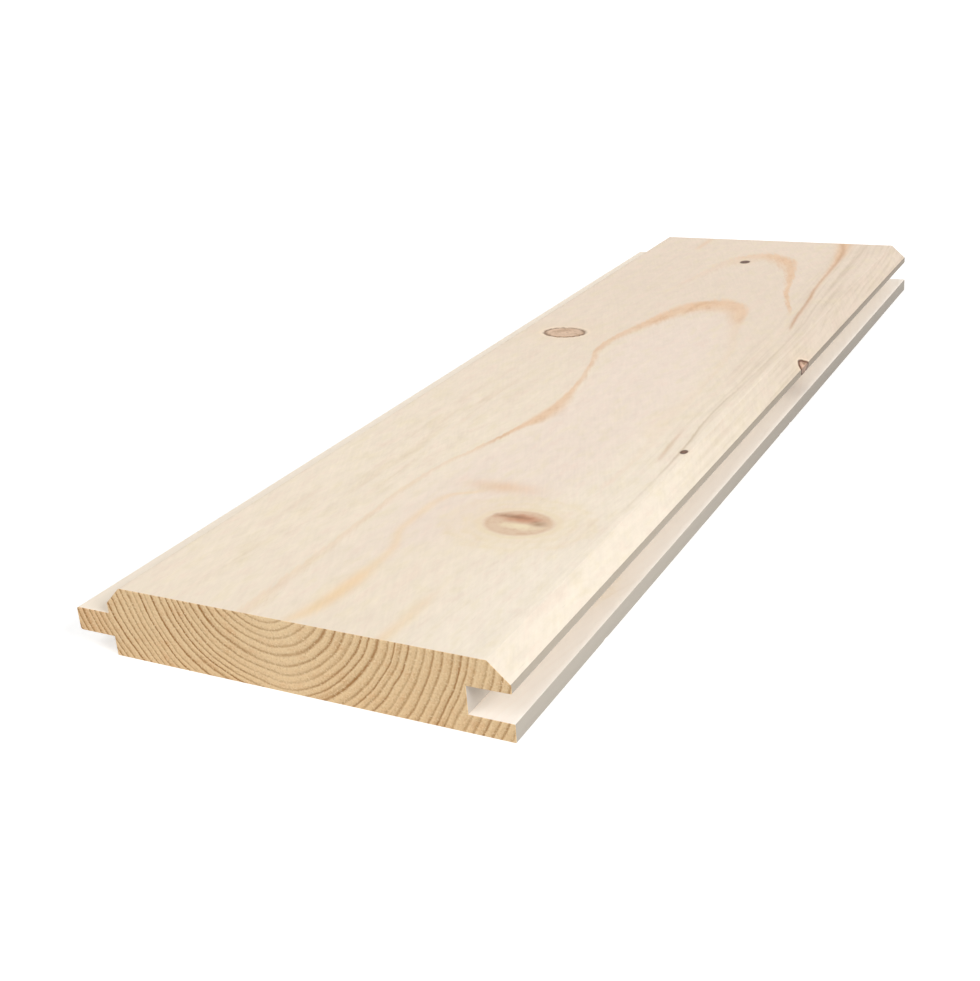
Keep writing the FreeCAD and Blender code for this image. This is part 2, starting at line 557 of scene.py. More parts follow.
def bell(value, width):
    """1 at zero, and smoothly away on both sides, like a bell."""
    share = value * (1 / width)
    return (share * share * -1).math("EXPONENT")


def vector(tree, operation, first, second=None):
    """A Vector Math node. A length or a dot product comes back as a number."""
    node = tree.nodes.new("ShaderNodeVectorMath")
    node.operation = operation
    plug(tree, first, node.inputs[0])
    if operation == "SCALE":
        plug(tree, second, node.inputs["Scale"])
    elif second is not None:
        plug(tree, second, node.inputs[1])
    number = operation in ("LENGTH", "DOT_PRODUCT")
    return Wire(tree, node.outputs["Value" if number else "Vector"])


def split(place):
    """The three parts of a vector."""
    node = add(place.tree, "SeparateXYZ", {}, Vector=place)
    return [Wire(place.tree, node.outputs[name]) for name in "XYZ"]


def join(tree, x, y, z):
    """A vector from three parts."""
    node = add(tree, "CombineXYZ", {}, X=x, Y=y, Z=z)
    return Wire(tree, node.outputs["Vector"])


def noise(place, size, seed, detail=2.0, roughness=0.5):
    """Cloudy values from about -1 to 1. The size in mm of one cloud may differ in X, Y and Z."""
    tree = place.tree
    node = add(tree, "VectorMath", {"operation": "MULTIPLY_ADD"})
    plug(tree, place, node.inputs[0])
    node.inputs[1].default_value = [1 / side for side in size]
    node.inputs[2].default_value = (seed * 17.3, seed * 5.9, seed * 11.1)
    cloud = add(tree, "TexNoise", {}, Vector=Wire(tree, node.outputs["Vector"]), Scale=1.0, Detail=detail,
                Roughness=roughness)
    return (Wire(tree, cloud.outputs["Fac"]) - 0.5) * 2.6


def follow(value, points):
    """Reads a value off a smooth curve that is drawn through (input, output) points."""
    ins = [point[0] for point in points]
    outs = [point[1] for point in points]
    span_in, span_out = max(ins) - min(ins), max(outs) - min(outs)
    if span_out == 0:
        return outs[0]
    shares = [((x - min(ins)) / span_in, (y - min(outs)) / span_out) for x, y in points]
    node = value.tree.nodes.new("ShaderNodeFloatCurve")
    line = node.mapping.curves[0]
    line.points[0].location = shares[0]
    line.points[1].location = shares[-1]
    for share in shares[1:-1]:
        line.points.new(*share)
    for point in line.points:
        point.handle_type = "AUTO_CLAMPED"
    node.mapping.extend = "HORIZONTAL"
    node.mapping.update()
    plug(value.tree, (value - min(ins)) / span_in, node.inputs["Value"])
    return Wire(value.tree, node.outputs["Value"]) * span_out + min(outs)


def mix(first, second, share):
    """One colour laid over another, by a share from 0 to 1."""
    node = add(share.tree, "Mix", {"data_type": "RGBA", "clamp_factor": True})
    plug(share.tree, share, node.inputs[0])
    plug(share.tree, first, node.inputs[6])
    plug(share.tree, second, node.inputs[7])
    return Wire(share.tree, node.outputs[2])


def shade(colour, factor):
    """A colour made darker or lighter by a factor that is a wire."""
    return vector(factor.tree, "SCALE", colour, factor)


def srgb(red, green, blue):
    """A colour as it is seen on screen, from 0 to 255, turned into the linear values of a shader."""
    def linear(part):
        part /= 255
        return part / 12.92 if part <= 0.04045 else ((part + 0.055) / 1.055) ** 2.4
    return linear(red), linear(green), linear(blue)


# %% Groups
VECTOR, NUMBER, COLOUR = "NodeSocketVector", "NodeSocketFloat", "NodeSocketColor"


def new_group(name, takes, gives):
    """A node group with named inputs and outputs. Returns it, its input wires, and its exit node."""
    tree = bpy.data.node_groups.new(name, "ShaderNodeTree")
    for title, kind in takes.items():
        tree.interface.new_socket(name=title, in_out="INPUT", socket_type=kind)
    for title, kind in gives.items():
        tree.interface.new_socket(name=title, in_out="OUTPUT", socket_type=kind)
    entry = tree.nodes.new("NodeGroupInput")
    leave = tree.nodes.new("NodeGroupOutput")
    return tree, {title: Wire(tree, entry.outputs[title]) for title in takes}, leave


def use(tree, group, **inputs):
    """Places a group in a tree, and returns its outputs as wires by name."""
    node = tree.nodes.new("ShaderNodeGroup")
    node.node_tree = group
    for name, value in inputs.items():
        plug(tree, value, node.inputs[name])
    return {socket.name: Wire(tree, socket) for socket in node.outputs}


# %% [markdown]
# ## The knot group
#
# This is the same sum as `reach` above, as nodes: how many of its own radii a point is from the
# middle line of one knot. One group serves every knot, each with its own centre, axis, lean and
# radii, and each material that shows knots places it again.

# %% Knot group
def make_knot_group():
    tree, given, leave = new_group(
        "knot", {"Place": VECTOR, "Centre": VECTOR, "Axis": VECTOR, "Lean": VECTOR, "Radii": VECTOR,
                 "Flat": VECTOR, "Corners": NUMBER},
        {"Reach": NUMBER})
    away = vector(tree, "SUBTRACT", given["Place"], given["Centre"])
    depth = vector(tree, "DOT_PRODUCT", away, given["Axis"])
    aside = vector(tree, "SUBTRACT", away, vector(tree, "SCALE", given["Lean"], depth))
    share = vector(tree, "DIVIDE", aside, given["Radii"])
    turn = vector(tree, "DOT_PRODUCT", vector(tree, "NORMALIZE", share), given["Flat"])
    pulled = (turn * turn * 4 - 3) * turn * given["Corners"] + 1
    plug(tree, vector(tree, "LENGTH", share) * pulled, leave.inputs["Reach"])
    return tree


KNOT = make_knot_group()


def reach_wire(place, knot):
    """The knot group, placed for one of the knots."""
    return use(place.tree, KNOT, Place=place, Centre=knot.centre, Axis=knot.axis, Lean=knot.lean,
               Radii=knot.radii, Flat=knot.flat, Corners=knot.corners)["Reach"]


print("the knot group has", len(KNOT.nodes), "nodes")

# %% [markdown]
# ## Growth rings
#
# A tree is a stack of cones, one for each year, so every ring is a surface around the heart of
# the tree. The heart of this one lay 10 mm above the face at the front end, and rises away from
# the board towards its back end. If the colour depends only on the distance from that line, the
# end shows arcs, the face shows long arches, and the two meet along every edge, as in real wood.
# A trunk is never straight, so the line sways from side to side, the rings bulge here and there,
# and each knot pushes them aside. The four curves below give the line's place and the two bulges
# over the board's length.

# %% Growth ring group
HALF_LENGTH = length / MM / 2
HEART_ACROSS = ((0, -3.1), (30, 1.5), (60, 10.0), (87, 15.2), (110, 16.8), (200, 14.5), (277, 14.0),
                (292, 12.8), (310, 11.3), (325, 9.4), (335, 8.4), (352, 8.2), (375, 7.0))
HEART_OVER_FACE = ((0, 10.0), (100, 10.0), (180, 11.0), (212, 13.5), (240, 19.3), (260, 22.5),
                   (272, 25.6), (278, 28.2), (310, 34.4), (335, 37.1), (347, 39.4), (353, 41.0),
                   (375, 44.0))
TONGUE_SIDE_BULGE = ((0, 0.0), (87, 0.0), (107, 3.0), (125, 7.6), (140, 10.8), (155, 12.4),
                     (170, 10.6), (185, 7.2), (199, 3.0), (212, -0.4), (224, -1.3), (240, -1.0),
                     (262, 0.0), (375, 0.0))
GROOVE_SIDE_BULGE = ((0, 0.0), (150, 0.0), (212, -1.0), (270, -5.0), (310, -2.5), (340, 0.0), (375, 0.0))
RING_WIDTH = 2.05
TIGHTER_ON_TONGUE_SIDE = 0.08


def make_ring_group():
    tree, given, leave = new_group(
        "growth_rings", {"Place": VECTOR},
        {"Radius": NUMBER, "Side": NUMBER, "Part": NUMBER, "Late": NUMBER, "Tone": NUMBER})
    place = given["Place"]
    across, along, up = split(place)
    from_front = along + HALF_LENGTH
    sideways = across - follow(from_front, HEART_ACROSS)
    sideways = sideways - follow(from_front, TONGUE_SIDE_BULGE) * bell(across + 7.6, 16)
    sideways = sideways - follow(from_front, GROOVE_SIDE_BULGE) * bell(across - 38, 14)
    stretch = 1 + step_down(sideways, -45, -25) * 0.12
    below = follow(from_front, HEART_OVER_FACE) + (thickness / MM - up) * stretch
    radius = vector(tree, "LENGTH", join(tree, sideways, below, 0.0))
    radius = radius + noise(place, (20, 90, 20), 1) * 0.8 + noise(place, (9, 17, 9), 2) * 0.3
    for knot in KNOTS:
        size = min(side for side in knot.radii if side != 1)
        radius = radius + bell(reach_wire(place, knot), 1.9) * size * 0.5

    tighter = 1 + step_down(sideways, -8, 8) * TIGHTER_ON_TONGUE_SIDE
    count = radius * tighter / RING_WIDTH + noise(join(tree, radius, 0.0, 0.0), (8, 1, 1), 3) * 0.75
    year = count.math("FLOOR")
    part = count - year
    late = step_up(part, 0.4, 0.9) * step_down(part, 0.92, 1.0)
    white = add(tree, "TexWhiteNoise", {"noise_dimensions": "1D"}, W=year)
    plug(tree, radius, leave.inputs["Radius"])
    plug(tree, sideways, leave.inputs["Side"])
    plug(tree, part, leave.inputs["Part"])
    plug(tree, late, leave.inputs["Late"])
    plug(tree, Wire(tree, white.outputs["Value"]), leave.inputs["Tone"])
    return tree


RINGS = make_ring_group()
print("the growth ring group has", len(RINGS.nodes), "nodes")

# %% [markdown]
# ## Fibres
#
# Softwood fibres run along the board. They show as faint streaks of several widths, as short dark
# dashes where a resin canal was cut open, and as a fine ridged feel. All three come from noise
# that is about 25 to 60 times longer than it is wide. Where the fibres rise to the surface at a
# slant, the knives leave a feathery figure, so another noise is sheared across the grain. The last
# one is hardly stretched at all, and gives a soft mottle.

# %% Fibre group
FEATHER_SLANT = math.tan(math.radians(24))


def make_fibre_group():
    tree, given, leave = new_group(
        "fibres", {"Place": VECTOR},
        {"Streak": NUMBER, "Feather": NUMBER, "Mottle": NUMBER, "Canal": NUMBER, "Height": NUMBER})
    place = given["Place"]
    across, along, up = split(place)
    slanted = join(tree, across + along * FEATHER_SLANT, along, up)
    broad = noise(place, (2.2, 90, 2.2), 11, detail=3)
    fine = noise(place, (0.35, 22, 0.35), 12, detail=3)
    dashes = noise(place, (0.22, 5.5, 0.22), 13, detail=1)
    feather = noise(slanted, (1.0, 9, 3), 15, detail=3) * (noise(place, (18, 50, 18), 16) * 0.5 + 0.8)
    plug(tree, broad * 0.6 + fine * 0.4, leave.inputs["Streak"])
    plug(tree, feather, leave.inputs["Feather"])
    plug(tree, noise(place, (2.8, 6.5, 2.8), 17, detail=4, roughness=0.65), leave.inputs["Mottle"])
    plug(tree, step_up(dashes, 0.62, 0.85), leave.inputs["Canal"])
    plug(tree, fine * 0.6 + noise(place, (0.12, 3, 0.12), 14) * 0.4, leave.inputs["Height"])
    return tree


FIBRES = make_fibre_group()
print("the fibre group has", len(FIBRES.nodes), "nodes")

# %% [markdown]
# ## Painting the knots
#
# This group takes the colour of the clear wood and gives it back with the knots painted in. Each
# knot has a warm halo where the fibres dive around it, a fill with its own small rings, and a
# rim that hardly shows on a sound knot and is dark brown on a dead one.

# %% Knot paint group
HALO = srgb(240, 214, 178)
KNOT_FILL = {
    "sound": srgb(227, 199, 170), "dead": srgb(224, 192, 164),
    "edge": srgb(216, 178, 154), "pin": srgb(120, 84, 62),
}
KNOT_HEART = {
    "sound": srgb(219, 186, 154), "dead": srgb(182, 148, 116),
    "edge": srgb(138, 108, 78), "pin": srgb(70, 46, 36),
}
KNOT_RIM = {
    "sound": srgb(214, 180, 144), "dead": srgb(120, 90, 64),
    "edge": srgb(94, 50, 14), "pin": srgb(96, 70, 52),
}
FILL_ENDS = {"sound": (0.86, 1.08), "dead": (0.88, 1.04), "edge": (0.88, 1.04), "pin": (0.88, 1.04)}
RIM_WIDTH = {"sound": 0.22, "dead": 0.14, "edge": 0.28, "pin": 0.5}
RIM_STRENGTH = {"sound": 0.03, "dead": 0.85, "edge": 1.0, "pin": 0.7}
PRESSED_RING = srgb(252, 230, 204)
YELLOWISH = srgb(234, 213, 166)
RESIN = srgb(194, 132, 98)
DARK_RESIN = srgb(134, 100, 68)
CREAMY = srgb(246, 230, 194)


def beside(knot, across, along, radii):
    """The same rod, moved aside inside the knot and given other radii."""
    centre = (knot.centre[0] + across, knot.centre[1] + along, knot.centre[2])
    return knot._replace(centre=centre, radii=radii)


def paint_sound_heart(place, wood, knot, ragged, cloudy, fill):
    """A sound knot has resin along one side of its heart and pale wood beside it."""
    uneven = cloudy * 0.5 + ragged * 0.15
    resin = step_down(reach_wire(place, beside(knot, -0.2, 2.7, (6.8, 2.9, 1))) + uneven, 0.3, 1.3)
    dark = step_down(reach_wire(place, beside(knot, -2.6, 3.3, (4.6, 1.2, 1))) + uneven, 0.1, 1.4)
    drop = step_down(reach_wire(place, beside(knot, 4.9, 1.0, (2.4, 1.7, 1))) + uneven, 0.1, 1.5)
    pale = step_down(reach_wire(place, beside(knot, 1.4, -1.4, (5.4, 2.2, 1))) + uneven, 0.2, 1.4)
    wood = mix(wood, CREAMY, pale * fill * 0.8)
    wood = mix(wood, RESIN, resin * fill * 0.8)
    return mix(wood, DARK_RESIN, dark.math("MAXIMUM", drop) * fill * 0.6)


def make_knot_paint_group():
    tree, given, leave = new_group("painted_knots", {"Place": VECTOR, "Wood": COLOUR},
                                   {"Wood": COLOUR, "Hard": NUMBER, "Rim": NUMBER})
    place, wood = given["Place"], given["Wood"]
    ragged = noise(place, (1.1, 1.1, 1.1), 21, detail=3)
    cloudy = noise(place, (3.5, 3.5, 3.5), 22, detail=3)
    hard = rims = None
    for knot in KNOTS:
        distance = reach_wire(place, knot)
        edge = distance + ragged * 0.05 + cloudy * 0.04
        fill = step_down(edge, *FILL_ENDS[knot.kind])
        width = RIM_WIDTH[knot.kind]
        rim = bell(edge - (1 - width / 2), width * 0.62) * (ragged * 0.12 + 1) * RIM_STRENGTH[knot.kind]
        small_rings = (distance * 16 + cloudy * 2.2).math("SINE") * 0.5 + 0.5
        patches = step_up(cloudy + ragged * 0.8, -0.3, 0.6)
        streaky = small_rings * 0.25 * step_up(distance, 0.1, 0.6) + patches * 0.75
        inside = mix(KNOT_FILL[knot.kind], KNOT_HEART[knot.kind], streaky)
        wood = mix(wood, HALO, bell(distance, 1.75) * 0.28)
        if knot.kind in LOOSE:
            wood = mix(wood, PRESSED_RING, bell(distance - 1.14, 0.09) * 0.6)
        if knot.kind == "sound":
            uneven = distance + cloudy * 0.24
            shown = 0.45 - cloudy * 0.6
            wood = mix(wood, YELLOWISH, bell(distance + cloudy * 0.1 - 1.12, 0.14) * 0.35)
            wood = mix(wood, YELLOWISH, bell(uneven - 1.5, 0.16) * shown * 0.45)
            wood = mix(wood, YELLOWISH, bell(uneven - 2.0, 0.2) * shown * 0.4)
        wood = mix(wood, inside, fill)
        if knot.kind == "sound":
            wood = paint_sound_heart(place, wood, knot, ragged, cloudy, fill)
        wood = mix(wood, KNOT_RIM[knot.kind], rim)
        hard = fill if hard is None else hard.math("MAXIMUM", fill)
        rims = rim if rims is None else rims.math("MAXIMUM", rim)
    plug(tree, wood, leave.inputs["Wood"])
    plug(tree, hard, leave.inputs["Hard"])
    plug(tree, rims, leave.inputs["Rim"])
    return tree


KNOT_PAINT = make_knot_paint_group()
print("the knot paint group has", len(KNOT_PAINT.nodes), "nodes")

# %% [markdown]
# ## The planed wood
#
# The face, the back, the tongue and the groove are all cut along the grain. Their wood is a pale
# cream whose rings hardly show, apart from a few years with broad, orange latewood: those draw the
# two tall arches on the face. The upright sides of the groove and its lips take the same wood, and
# over all of it but the knots lies a dull grey: painted shade, which darkens their knots too.

# %% Planed wood
CREAM = srgb(244, 229, 208)
DEEPER = srgb(234, 216, 197)
PALE = srgb(250, 238, 220)
# Painted light: the palest paint for the groove's floor and the light cream for the tongue's top, where the
# lip and the shoulder cast shade.
PALEST_PAINTED_LIGHT = srgb(255, 247, 237)
TONGUE_CREAM_PAINTED_LIGHT = srgb(255, 242, 224)
PINKISH = srgb(241, 223, 209)
YELLOW_TINGE = srgb(236, 221, 184)
ROSY_TINGE = srgb(242, 214, 196)
HONEY = srgb(214, 188, 148)
GREYISH = srgb(196, 174, 146)
ORANGE = srgb(231, 190, 150)
AMBER = srgb(243, 205, 150)
REDDISH = srgb(194, 145, 106)
# Greys of painted shade for the upright faces, and how much painted shade darkens their back end, the lips,
# the bevel and the knots on the upright faces.
SHADED_SIDE_GREY = srgb(182, 173, 159)
SHADED_SIDE_BROWN = srgb(174, 156, 134)
SHADED_WALL_GREY = srgb(193, 185, 176)
DARKER = 0.65
LIPS_DARKER = 0.18
BEVEL_DARKER = 0.13
KNOT_SHADE_ON_SIDES = 0.45

# Each arch is one year: its radius and its width over the length of the board, and how strongly it
# shows on either side of its own middle.
FIRST_ARCH = {
    "radius": ((0, 12.1), (30, 15.4), (60, 22.9), (87, 27.6), (110, 28.0), (375, 28.0)),
    "width": ((0, 2.4), (110, 2.6), (130, 4.4), (141, 10.0), (156, 7.5), (170, 3.6), (195, 2.8),
              (215, 3.6), (240, 4.6), (258, 6.0), (272, 7.5), (375, 7.5)),
    "tongue side": ((0, 0.25), (90, 0.3), (112, 0.55), (132, 0.85), (158, 0.85), (180, 0.6),
                    (205, 0.65), (228, 0.75), (255, 0.85), (285, 0.85), (300, 0.0), (375, 0.0)),
    "groove side": ((0, 0.0), (80, 0.0), (105, 0.12), (170, 0.12), (230, 0.15), (246, 0.28),
                    (258, 0.75), (285, 0.8), (300, 0.0), (375, 0.0)),
}
SECOND_ARCH = {
    "radius": ((0, 40.6), (375, 40.6)),
    "width": ((0, 1.4), (270, 1.4), (295, 1.9), (318, 2.6), (336, 3.6), (352, 3.8), (375, 3.8)),
    "tongue side": ((0, 0.0), (280, 0.05), (305, 0.15), (340, 0.3), (352, 0.6), (375, 0.0)),
    "groove side": ((0, 0.0), (255, 0.0), (268, 0.45), (300, 0.85), (345, 0.85), (354, 0.55), (375, 0.2)),
}

# Each streak has a colour and a list of places: from the front, across, its half width, its strength.
STREAKS = (
    (ORANGE, ((0, 38.0, 1.0, 0.0), (255, 46.0, 1.0, 0.1), (300, 42.0, 1.0, 0.4), (335, 39.6, 1.3, 0.6),
              (352, 38.0, 2.1, 0.9), (375, 34.8, 3.4, 1.0))),
    (REDDISH, ((0, 48.9, 0.6, 0.0), (236, 48.9, 0.6, 0.0), (248, 47.6, 0.6, 0.6), (262, 45.9, 0.7, 0.8),
               (285, 43.9, 0.7, 0.8), (305, 41.6, 0.6, 0.6), (330, 40.4, 0.8, 0.55), (350, 39.0, 1.0, 0.6),
               (375, 33.6, 1.2, 0.6))),
    (REDDISH, ((0, 48.6, 0.6, 0.0), (112, 48.6, 0.6, 0.0), (120, 48.2, 0.8, 0.45), (136, 47.0, 0.7, 0.3),
               (148, 46.4, 0.6, 0.0), (375, 46.4, 0.6, 0.0))),
    (GREYISH, ((0, 52.6, 0.4, 0.0), (100, 52.6, 0.4, 0.2), (130, 51.9, 0.45, 0.7), (160, 50.2, 0.45, 0.6),
               (185, 50.9, 0.45, 0.4), (230, 51.2, 0.45, 0.3), (280, 48.5, 0.5, 0.4), (375, 44.5, 0.6, 0.4))),
    (AMBER, ((0, 3.9, 1.8, 0.4), (19, 7.4, 2.5, 0.8), (33, 7.6, 1.6, 0.45), (55, 2.6, 1.5, 0.4),
             (66, 2.4, 1.5, 0.4), (78, 6.0, 1.8, 0.4), (86, 12.0, 2.0, 0.0), (375, 12.0, 2.0, 0.0))),
    (AMBER, ((0, 28.9, 1.8, 0.5), (18, 29.2, 1.8, 0.35), (36, 29.0, 1.6, 0.0), (375, 29.0, 1.6, 0.0))),
    (ORANGE, ((0, -25.0, 1.2, 0.0), (350, -25.0, 1.2, 0.0), (360, -25.0, 1.4, 0.5), (375, -25.5, 1.0, 0.3))),
)
# Resin that seeped out across the grain behind the sound knot, as an oval patch: from the front, across.
SEEP_CENTRE = (85.5, 15.5)
SEEP_RADII = (3.6, 9.5)

# The fine lines of the wood by the groove follow this path: from the front, how far they are aside.
GROOVE_PATH = ((0, 1.0), (100, 0.5), (160, 0.0), (236, 0.0), (262, -2.0), (305, -5.0), (350, -7.5),
               (375, -10.0))


def wood_place(tree):
    """The place of each point of the piece in millimetres."""
    coordinates = tree.nodes.new("ShaderNodeTexCoord")
    return vector(tree, "SCALE", Wire(tree, coordinates.outputs["Object"]), 1 / MM)


def new_material(name):
    material = bpy.data.materials.new(name)
    material.use_nodes = True
    tree = material.node_tree
    return material, tree, tree.nodes["Principled BSDF"]


def arch(radius, side, from_front, shape):
    """A year of broad latewood: it builds up slowly and stops short at its outer side."""
    part = (radius - follow(from_front, shape["radius"])) / follow(from_front, shape["width"])
    left = follow(from_front, shape["tongue side"])
    right = follow(from_front, shape["groove side"])
    strength = left + (right - left) * step_up(side, -4, 4)
    return step_up(part, -1.05, -0.35) * step_down(part, -0.2, 0.15) * strength


def streak(across, from_front, places):
    """A thin line of resin or dense wood that keeps to its own path along the board."""
    path, half_width, strength = (
        follow(from_front, [(place[0], place[part]) for place in places]) for part in (1, 2, 3))
    return bell((across - path) / half_width, 1.0) * strength


def planed_colour(tree, place):
    """The colour of wood cut along the grain, with its knots, and the masks that came with them."""
    rings = use(tree, RINGS, Place=place)
    fibres = use(tree, FIBRES, Place=place)
    clouds = noise(place, (30, 120, 30), 31, detail=2)
    patchy = noise(place, (7, 24, 7), 32, detail=3) * 0.5 + 0.5
    across, along, up = split(place)
    from_front = along + HALF_LENGTH
    feather, mottle = fibres["Feather"], fibres["Mottle"]
    radius = rings["Radius"] + feather * 0.9 + mottle * 0.5

    # The ground colour: deeper towards the back end, paler by the groove, rosy near the heart.
    # On the back lip, whose top is the groove's floor, and on the tongue it is painted palest and plainest:
    # painted light in place of the light that the face lip and the shoulder keep off them.
    wood = mix(CREAM, DEEPER, step_up(from_front + clouds * 20, 90, 300) * 0.9)
    wood = mix(wood, PALE, step_up(across + clouds * 6, 14, 56) * step_down(from_front, 40, 220) * 0.85)
    wood = mix(wood, PINKISH, step_down(radius - follow(from_front, FIRST_ARCH["radius"]), -12, 0) * 0.6)
    tinge = noise(place, (3.5, 9, 3.5), 33, detail=3, roughness=0.6)
    wood = mix(wood, YELLOW_TINGE, step_up(tinge, -0.1, 0.7) * 0.35)
    wood = mix(wood, ROSY_TINGE, step_down(tinge, -0.7, 0.1) * 0.3)
    below_mouth = step_down(up, 12, 12.5)
    # Painted light: the groove's floor is painted palest, in place of light that the face lip keeps off it.
    wood = mix(wood, PALEST_PAINTED_LIGHT, step_up(across, 48, 50) * below_mouth)
    # Painted light: the tongue's top is painted a light cream, in place of light that the shoulder keeps off
    # it.
    wood = mix(wood, TONGUE_CREAM_PAINTED_LIGHT, step_down(across, -50, -49.5) * below_mouth)

    # Soft streaks of the slow years: on the tongue side near the front, and many grey ones by the groove.
    outside = step_up(radius, 25, 33)
    lane = across + follow(from_front, GROOVE_PATH) * -1 + feather * 0.3 + clouds * 2
    lines = noise(join(tree, lane, along, up), (1.3, 48, 1.3), 36, detail=3)
    growing = step_up(from_front, 40, 230) * 0.75 + 0.25
    by_groove = step_up(lane, 38, 47) * step_up(up, 12.5, 13) * growing
    wood = mix(wood, GREYISH, step_up(lines, -0.3, 0.8) * by_groove * (patchy * 0.3 + 0.2))
    swaying = across + clouds * 5 + feather * 0.6
    slow_years = noise(join(tree, swaying, along, up), (2.6, 34, 2.6), 35, detail=2) + mottle * 0.25
    by_tongue = bell(across + 22, 12) * (step_down(from_front, 120, 220) * 0.6 + 0.15)
    wood = mix(wood, HONEY, step_up(slow_years, -0.3, 0.9) * by_tongue * outside * (patchy * 0.5 + 0.2))
    wood = mix(wood, HONEY, rings["Late"] * rings["Tone"] * patchy * (outside * 0.08 + 0.05))

    # The arches, the seep beside the large knot, and the streaks.
    for shape in (FIRST_ARCH, SECOND_ARCH):
        one = arch(radius, rings["Side"], from_front, shape)
        wood = mix(wood, ORANGE, one * (patchy * 0.5 + mottle * 0.2 + 0.6))
        wood = mix(wood, REDDISH, one * one * step_up(mottle + patchy, 0.4, 1.3) * 0.3)
    past, aside = from_front + mottle - SEEP_CENTRE[0], across + feather - SEEP_CENTRE[1]
    seep = bell(past / SEEP_RADII[0], 1.0) * bell(aside / SEEP_RADII[1], 1.0)
    wood = mix(wood, ORANGE, seep * (patchy * 0.3 + 0.4))
    for colour, places in STREAKS:
        wood = mix(wood, colour, streak(across + feather * 0.35, from_front, places) * (patchy * 0.5 + 0.5))
    # Painted shade: the bevel is painted darker, more so towards the back end, to even out the extra light
    # that the groove-side sun gives it.
    on_bevel = step_up(across, 54.5, 54.9) * step_up(up, 13.6, 14.1)
    painted_bevel_shade = on_bevel * (step_up(from_front, 40, 200) * 0.5 + 0.7) * BEVEL_DARKER
    fine = fibres["Streak"] * 0.03 + feather * 0.05 + mottle * 0.065 + fibres["Canal"] * 0.08
    wood = shade(wood, 1 - fine * (1 - below_mouth * 0.65) - painted_bevel_shade)
    painted = use(tree, KNOT_PAINT, Place=place, Wood=wood)
    return painted, rings, fibres


def bump(tree, shader, height, distance):
    """Fine relief in the shader's normal, as deep as the distance in metres."""
    node = add(tree, "Bump", {}, Height=height, Distance=distance, Strength=1.0)
    tree.links.new(node.outputs["Normal"], shader.inputs["Normal"])


def make_planed_wood():
    material, tree, shader = new_material("planed_along_the_grain")
    place = wood_place(tree)
    painted, rings, fibres = planed_colour(tree, place)
    plug(tree, painted["Wood"], shader.inputs["Base Color"])
    plug(tree, 0.62 - rings["Late"] * 0.06 - painted["Hard"] * 0.1, shader.inputs["Roughness"])
    bump(tree, shader, fibres["Height"] - painted["Rim"] * 2 - fibres["Canal"] * 1.5, 0.02 * MM)
    shader.inputs["Specular IOR Level"].default_value = 0.3
    return material


def make_milled_wood_with_painted_shade():
    material, tree, shader = new_material("milled_edge_painted_shade")
    place = wood_place(tree)
    painted, rings, fibres = planed_colour(tree, place)
    across, along, up = split(place)
    # Painted shade: a grey laid over the wood of these upright faces. It is browner higher up and towards the
    # back end, lighter on the groove's inner wall near the front, and darker towards the back end and on the
    # lips. Knots on them are painted darker.
    far = step_up(along, -170, 90)
    grey = mix(SHADED_SIDE_GREY, SHADED_SIDE_BROWN, step_up(up, 8, 12) * 0.4 + far * 0.5)
    grey = mix(grey, SHADED_WALL_GREY, step_down(across, 50, 52) * (1 - far))
    on_lips = step_up(across, 55, 58) * LIPS_DARKER
    grey = shade(grey, 1 - far * (1 - DARKER) - on_lips - fibres["Streak"] * 0.03)
    in_knot = painted["Hard"].math("MAXIMUM", painted["Rim"])
    shaded = shade(painted["Wood"], 1 - in_knot * KNOT_SHADE_ON_SIDES)
    sides_with_painted_shade = mix(shaded, grey, (1 - in_knot) * 0.88)
    plug(tree, sides_with_painted_shade, shader.inputs["Base Color"])
    plug(tree, 0.5 + fibres["Streak"] * 0.05, shader.inputs["Roughness"])
    bump(tree, shader, fibres["Height"] - painted["Rim"] * 2, 0.02 * MM)
    shader.inputs["Specular IOR Level"].default_value = 0.3
    return material


# %% [markdown]
# ## The sawn ends
#
# Across the grain the same rings show at full strength, because the saw opens every fibre end.
# The wood is darker and more yellow there, matt, and rough to the touch, with fine dark speckles
# and the light fuzz that saw teeth leave.

# %% End grain
END_EARLY = srgb(236, 204, 158)
END_LATE = srgb(160, 108, 54)
END_FUZZ = srgb(252, 228, 188)
END_WARM = srgb(222, 174, 124)
# A few years of this tree stand out darker than their neighbours: about how far each is from its heart.
DARK_YEARS = (19.5, 23.5, 30, 38, 46, 49.5, 54)
DARK_YEAR_WIDTH = 1.1


